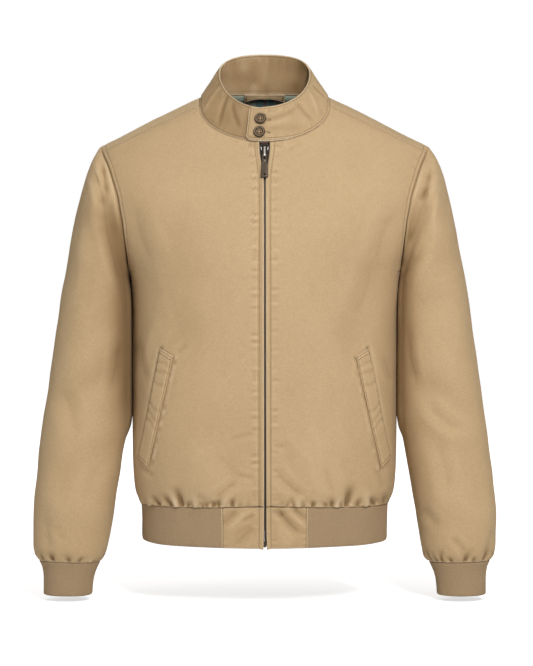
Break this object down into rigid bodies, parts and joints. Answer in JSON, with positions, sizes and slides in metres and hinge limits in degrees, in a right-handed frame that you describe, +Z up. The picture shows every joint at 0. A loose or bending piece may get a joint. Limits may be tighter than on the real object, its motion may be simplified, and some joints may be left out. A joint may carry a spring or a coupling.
{
  "type": "harrington jacket",
  "caption": "Zip-front blouson jacket with a buttoned stand collar, slanted welt pockets, rib cuffs and a rib waistband, filled out as worn.",
  "frame": {"origin": "middle of the neck, level with the shoulder ridge beside the collar, where the wearer's shoulders carry it", "axes": "+Z up along the back, +X towards the wearer's left, the front faces -Y"},
  "size_m": [0.6559, 0.2664, 0.7675],
  "materials": {
    "shell_cloth": "matte, close cotton twill",
    "rib_knit": "matte rib knit",
    "lining_check": null,
    "zip_tape": "matte woven tape",
    "zip_metal": "dark antique, worn bright at the edges",
    "button": "semi-gloss, mottled brown"
  },
  "bodies": {
    "jacket": {"front_left": "shell_cloth", "front_right": "shell_cloth", "back": "shell_cloth", "hem_tab_left": "shell_cloth", "hem_tab_right": "shell_cloth", "sleeve_left": "shell_cloth", "sleeve_right": "shell_cloth", "collar_outer": "shell_cloth", "collar_inner": "shell_cloth", "pocket_welt_left": "shell_cloth", "pocket_welt_right": "shell_cloth", "hanger_loop": "shell_cloth", "hem_rib": "rib_knit", "cuff_left": "rib_knit", "cuff_right": "rib_knit", "lining_back": "lining_check", "zip_tape_left": "zip_tape", "zip_tape_right": "zip_tape", "zip_chain_left": "zip_metal", "zip_chain_right": "zip_metal", "zip_slider": "zip_metal", "zip_stop_left": "zip_metal", "zip_stop_right": "zip_metal", "zip_box": "zip_metal", "button_upper": "button", "button_lower": "button"},
    "pull": {"zip_pull": "zip_metal"}
  },
  "joints": [
    {"name": "pull_hinge", "type": "hinge", "parent": "jacket", "child": "pull", "pos_m": [0, -0.09247, -0.08551], "axis": [-1, 0, 0], "range_deg": [0, 145]}
  ]
}
